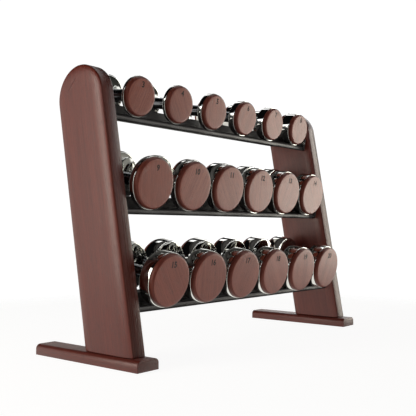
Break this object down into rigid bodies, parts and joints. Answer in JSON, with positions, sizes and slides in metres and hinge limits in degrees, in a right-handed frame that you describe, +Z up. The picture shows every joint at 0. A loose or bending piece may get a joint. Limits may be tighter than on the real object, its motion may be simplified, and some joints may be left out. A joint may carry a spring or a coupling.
{
  "type": "dumbbell rack",
  "caption": "Three-tier rack with leaning wooden side panels on wooden feet and tilted black steel trays that hold round-headed steel dumbbells with wooden end caps.",
  "frame": {"origin": "on the floor, under the middle of the rack's bounding box", "axes": "+X along the trays to the right, +Y towards the back, +Z up; the dumbbells' faces look towards -Y"},
  "size_m": [1.182, 0.433, 0.8626],
  "materials": {
    "side_panel": "solid ash stained red-brown, satin oiled, fine grain along the panel",
    "foot": "solid ash stained red-brown, satin oiled, grain along the foot",
    "tray": "folded sheet steel, fine-textured black powder coat, satin",
    "bolt": "stainless button-head bolts, machined bright",
    "screw": "zinc-plated wood screws",
    "dumbbell_steel": "turned steel, mirror polished",
    "dumbbell_cap": "turned ash stained red-brown, satin, fine straight grain across the face"
  },
  "bodies": {
    "rack": {"side_panel_left": "side_panel", "foot_left": "foot", "foot_screw_left_front": "screw", "foot_screw_left_back": "screw", "side_panel_right": "side_panel", "foot_right": "foot", "foot_screw_right_front": "screw", "foot_screw_right_back": "screw", "tray_top": "tray", "tray_bolt_top_left_front": "bolt", "tray_bolt_top_left_back": "bolt", "tray_bolt_top_right_front": "bolt", "tray_bolt_top_right_back": "bolt", "tray_middle": "tray", "tray_bolt_middle_left_front": "bolt", "tray_bolt_middle_left_back": "bolt", "tray_bolt_middle_right_front": "bolt", "tray_bolt_middle_right_back": "bolt", "tray_bottom": "tray", "tray_bolt_bottom_left_front": "bolt", "tray_bolt_bottom_left_back": "bolt", "tray_bolt_bottom_right_front": "bolt", "tray_bolt_bottom_right_back": "bolt"},
    "dumbbell_top_1": {"dumbbell_top_1_steel": "dumbbell_steel", "dumbbell_top_1_cap": "dumbbell_cap"},
    "dumbbell_top_2": {"dumbbell_top_2_steel": "dumbbell_steel", "dumbbell_top_2_cap": "dumbbell_cap"},
    "dumbbell_top_3": {"dumbbell_top_3_steel": "dumbbell_steel", "dumbbell_top_3_cap": "dumbbell_cap"},
    "dumbbell_top_4": {"dumbbell_top_4_steel": "dumbbell_steel", "dumbbell_top_4_cap": "dumbbell_cap"},
    "dumbbell_top_5": {"dumbbell_top_5_steel": "dumbbell_steel", "dumbbell_top_5_cap": "dumbbell_cap"},
    "dumbbell_top_6": {"dumbbell_top_6_steel": "dumbbell_steel", "dumbbell_top_6_cap": "dumbbell_cap"},
    "dumbbell_middle_1": {"dumbbell_middle_1_steel": "dumbbell_steel", "dumbbell_middle_1_cap": "dumbbell_cap"},
    "dumbbell_middle_2": {"dumbbell_middle_2_steel": "dumbbell_steel", "dumbbell_middle_2_cap": "dumbbell_cap"},
    "dumbbell_middle_3": {"dumbbell_middle_3_steel": "dumbbell_steel", "dumbbell_middle_3_cap": "dumbbell_cap"},
    "dumbbell_middle_4": {"dumbbell_middle_4_steel": "dumbbell_steel", "dumbbell_middle_4_cap": "dumbbell_cap"},
    "dumbbell_middle_5": {"dumbbell_middle_5_steel": "dumbbell_steel", "dumbbell_middle_5_cap": "dumbbell_cap"},
    "dumbbell_middle_6": {"dumbbell_middle_6_steel": "dumbbell_steel", "dumbbell_middle_6_cap": "dumbbell_cap"},
    "dumbbell_bottom_1": {"dumbbell_bottom_1_steel": "dumbbell_steel", "dumbbell_bottom_1_cap": "dumbbell_cap"},
    "dumbbell_bottom_2": {"dumbbell_bottom_2_steel": "dumbbell_steel", "dumbbell_bottom_2_cap": "dumbbell_cap"},
    "dumbbell_bottom_3": {"dumbbell_bottom_3_steel": "dumbbell_steel", "dumbbell_bottom_3_cap": "dumbbell_cap"},
    "dumbbell_bottom_4": {"dumbbell_bottom_4_steel": "dumbbell_steel", "dumbbell_bottom_4_cap": "dumbbell_cap"},
    "dumbbell_bottom_5": {"dumbbell_bottom_5_steel": "dumbbell_steel", "dumbbell_bottom_5_cap": "dumbbell_cap"},
    "dumbbell_bottom_6": {"dumbbell_bottom_6_steel": "dumbbell_steel", "dumbbell_bottom_6_cap": "dumbbell_cap"}
  },
  "joints": [
    {"name": "lift_top_1", "type": "slide", "parent": "rack", "child": "dumbbell_top_1", "axis": [0, -0.9205, 0.3907], "range_m": [0, 0.26]},
    {"name": "lift_top_2", "type": "slide", "parent": "rack", "child": "dumbbell_top_2", "axis": [0, -0.9205, 0.3907], "range_m": [0, 0.26]},
    {"name": "lift_top_3", "type": "slide", "parent": "rack", "child": "dumbbell_top_3", "axis": [0, -0.9205, 0.3907], "range_m": [0, 0.26]},
    {"name": "lift_top_4", "type": "slide", "parent": "rack", "child": "dumbbell_top_4", "axis": [0, -0.9205, 0.3907], "range_m": [0, 0.26]},
    {"name": "lift_top_5", "type": "slide", "parent": "rack", "child": "dumbbell_top_5", "axis": [0, -0.9205, 0.3907], "range_m": [0, 0.26]},
    {"name": "lift_top_6", "type": "slide", "parent": "rack", "child": "dumbbell_top_6", "axis": [0, -0.9205, 0.3907], "range_m": [0, 0.26]},
    {"name": "lift_middle_1", "type": "slide", "parent": "rack", "child": "dumbbell_middle_1", "axis": [0, -0.9205, 0.3907], "range_m": [0, 0.26]},
    {"name": "lift_middle_2", "type": "slide", "parent": "rack", "child": "dumbbell_middle_2", "axis": [0, -0.9205, 0.3907], "range_m": [0, 0.26]},
    {"name": "lift_middle_3", "type": "slide", "parent": "rack", "child": "dumbbell_middle_3", "axis": [0, -0.9205, 0.3907], "range_m": [0, 0.26]},
    {"name": "lift_middle_4", "type": "slide", "parent": "rack", "child": "dumbbell_middle_4", "axis": [0, -0.9205, 0.3907], "range_m": [0, 0.26]},
    {"name": "lift_middle_5", "type": "slide", "parent": "rack", "child": "dumbbell_middle_5", "axis": [0, -0.9205, 0.3907], "range_m": [0, 0.26]},
    {"name": "lift_middle_6", "type": "slide", "parent": "rack", "child": "dumbbell_middle_6", "axis": [0, -0.9205, 0.3907], "range_m": [0, 0.26]},
    {"name": "lift_bottom_1", "type": "slide", "parent": "rack", "child": "dumbbell_bottom_1", "axis": [0, -0.9205, 0.3907], "range_m": [0, 0.26]},
    {"name": "lift_bottom_2", "type": "slide", "parent": "rack", "child": "dumbbell_bottom_2", "axis": [0, -0.9205, 0.3907], "range_m": [0, 0.26]},
    {"name": "lift_bottom_3", "type": "slide", "parent": "rack", "child": "dumbbell_bottom_3", "axis": [0, -0.9205, 0.3907], "range_m": [0, 0.26]},
    {"name": "lift_bottom_4", "type": "slide", "parent": "rack", "child": "dumbbell_bottom_4", "axis": [0, -0.9205, 0.3907], "range_m": [0, 0.26]},
    {"name": "lift_bottom_5", "type": "slide", "parent": "rack", "child": "dumbbell_bottom_5", "axis": [0, -0.9205, 0.3907], "range_m": [0, 0.26]},
    {"name": "lift_bottom_6", "type": "slide", "parent": "rack", "child": "dumbbell_bottom_6", "axis": [0, -0.9205, 0.3907], "range_m": [0, 0.26]}
  ]
}
